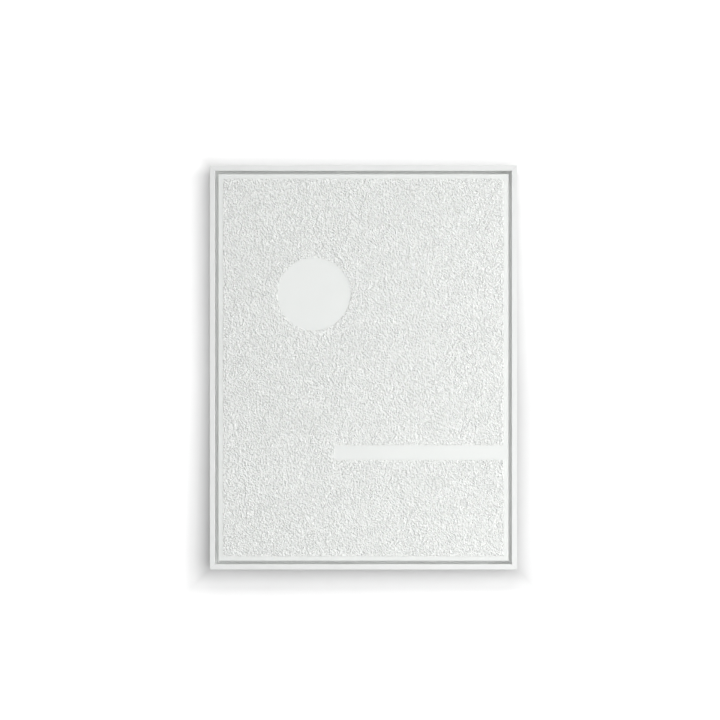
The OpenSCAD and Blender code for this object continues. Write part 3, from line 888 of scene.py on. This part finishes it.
def shade_strip_material():
    """Black with a front only, for the strip that puts shade behind the frame."""
    n = new_material("shade_strip_black")
    return one_sided(n, n.add("ShaderNodeBsdfDiffuse", None, {"Color": (0, 0, 0, 1)}).outputs[0])


def stage_object(name, verts, faces, material):
    """A surface that isn't part of the frame."""
    mesh = bpy.data.meshes.new(name)
    mesh.from_pydata(verts, [], faces)
    mesh.materials.append(material)
    stage = bpy.data.objects.new(name, mesh)
    bpy.context.scene.collection.objects.link(stage)
    return stage


def rectangle(half_width, low, high):
    """The corners of a rectangle about the middle plane, anticlockwise from the lower left."""
    return [(-half_width, low), (half_width, low), (half_width, high), (-half_width, high)]


def build_wall():
    """The wall, with its hole behind the frame."""
    hole_z = FRAME_HALF_Z - HOLE_INSET
    outer = rectangle(STAGE_HALF, FLOOR_Z, STAGE_HALF)
    hole = rectangle(FRAME_HALF_X - HOLE_INSET, -hole_z, hole_z)
    verts = [(x, WALL_Y, z) for x, z in outer + hole]
    faces = [(i, j, SIDES + j, SIDES + i) for i, j in CORNER_PAIRS]
    return stage_object("wall", verts, faces, stage_material("wall_paint", *WALL_SHADE_TONES, WALL_LIFT))


def build_floor():
    """The floor, which lies below the view."""
    verts = [(x, y, FLOOR_Z) for x, y in rectangle(STAGE_HALF, -STAGE_HALF, STAGE_HALF)]
    faces = [tuple(range(SIDES))]
    return stage_object("floor", verts, faces, stage_material("floor_paint", *FLOOR_TONES, FLOOR_LIFT))


def build_shade_strip():
    """A black strip round the space behind the frame, unseen by the camera and dark outwards only: it puts
    shade there by keeping light out of it.
    """
    z = FRAME_HALF_Z - SHADE_STRIP_INSET
    loop = rectangle(FRAME_HALF_X - SHADE_STRIP_INSET, -z, z)
    verts = [(px, py, pz) for py in (RAIL_BACK_Y, WALL_Y) for px, pz in loop]
    faces = [(i, SIDES + i, SIDES + j, j) for i, j in CORNER_PAIRS]
    shade_strip = stage_object("shade_strip", verts, faces, shade_strip_material())
    shade_strip.visible_camera = False
    shade_strip.visible_glossy = False
    shade_strip.visible_transmission = False
    shade_strip.visible_shadow = False


# Lamps: place, width and height, and the radiance of the face
FRONT_LAMPS = {
    "front": ((0.0, -6.0, 0.0), (3.0, 3.0), 1.6),
    "low": ((0.6, -1.8, -0.78), (1.6, 0.5), 2.7),
    "right_front": ((2.6, -2.6, 0.4), (1.4, 1.4), 2.9),
    "right_side": ((2.2, -1.0, 0.0), (1.2, 1.6), 2.3),
    "above": ((0.4, -2.3, 3.6), (3.0, 2.0), 2.6),
}
REAR_LAMPS = {
    "rear_above": ((-1.0, 2.6, 1.8), (2.4, 2.0), 2.2),
    "rear_side": ((1.9, 2.2, 0.2), (1.6, 1.8), 1.5),
}

# The world's strength as a light, and where it is seen
WORLD_LIGHT = 0.45
WORLD_SEEN = 1.0


def add_lamp(name, place, size, radiance):
    """An area lamp aimed at the origin, which isn't seen itself."""
    width, height = size
    lamp = bpy.data.lights.new(name, "AREA")
    lamp.shape = "RECTANGLE"
    lamp.size = width
    lamp.size_y = height
    lamp.energy = radiance * math.pi * width * height
    stand = bpy.data.objects.new(name, lamp)
    stand.location = place
    stand.rotation_mode = "QUATERNION"
    stand.rotation_quaternion = (-Vector(place)).to_track_quat("-Z", "Y")
    stand.visible_camera = False
    bpy.context.scene.collection.objects.link(stand)
    return stand


def shine_through(stand, wall):
    """Lets a lamp's light through the wall."""
    clear = bpy.data.collections.new("clear_for_" + stand.name)
    clear.objects.link(wall)
    clear.collection_objects[0].light_linking.link_state = "EXCLUDE"
    stand.light_linking.blocker_collection = clear


def build_world():
    """A world that is white where it is seen, and dimmer as a light."""
    world = bpy.data.worlds.new("studio")
    bpy.context.scene.world = world
    n = Nodes(world)
    dim = n.add("ShaderNodeBackground", None, {"Strength": WORLD_LIGHT}).outputs[0]
    white = n.add("ShaderNodeBackground", None, {"Strength": WORLD_SEEN}).outputs[0]
    mixed = n.add("ShaderNodeMixShader", None, {0: seen_rays(n), 1: dim, 2: white}).outputs[0]
    n.add("ShaderNodeOutputWorld", None, {"Surface": mixed})


def build_lamps(wall):
    """The lamps before the frame, and those behind it, whose light the wall lets through."""
    for name, lamp in FRONT_LAMPS.items():
        add_lamp(name, *lamp)
    for name, lamp in REAR_LAMPS.items():
        shine_through(add_lamp(name, *lamp), wall)


# Camera: its lens and sensor in millimetres, and the width and the middle of its view at the frame's face
LENS = 100
SENSOR = 36
VIEW_WIDTH = 1.488
VIEW_X = -0.007
VIEW_Z = 0.0155
CLIP_END = 100


def build_camera():
    """A camera straight before the frame."""
    camera = bpy.data.objects.new("camera", bpy.data.cameras.new("camera"))
    camera.data.lens = LENS
    camera.data.sensor_width = SENSOR
    camera.data.clip_end = CLIP_END
    distance = VIEW_WIDTH * LENS / SENSOR
    camera.location = (VIEW_X, FACE_Y - distance, VIEW_Z)
    camera.rotation_euler = (QUARTER_TURN, 0, 0)
    bpy.context.scene.collection.objects.link(camera)
    bpy.context.scene.camera = camera


bpy.context.scene.view_settings.view_transform = "Standard"
build_camera()
wall = build_wall()
build_floor()
build_shade_strip()
build_world()
build_lamps(wall)
finish_cad_nodes()
cloth = build_cloth()
build_plaster()
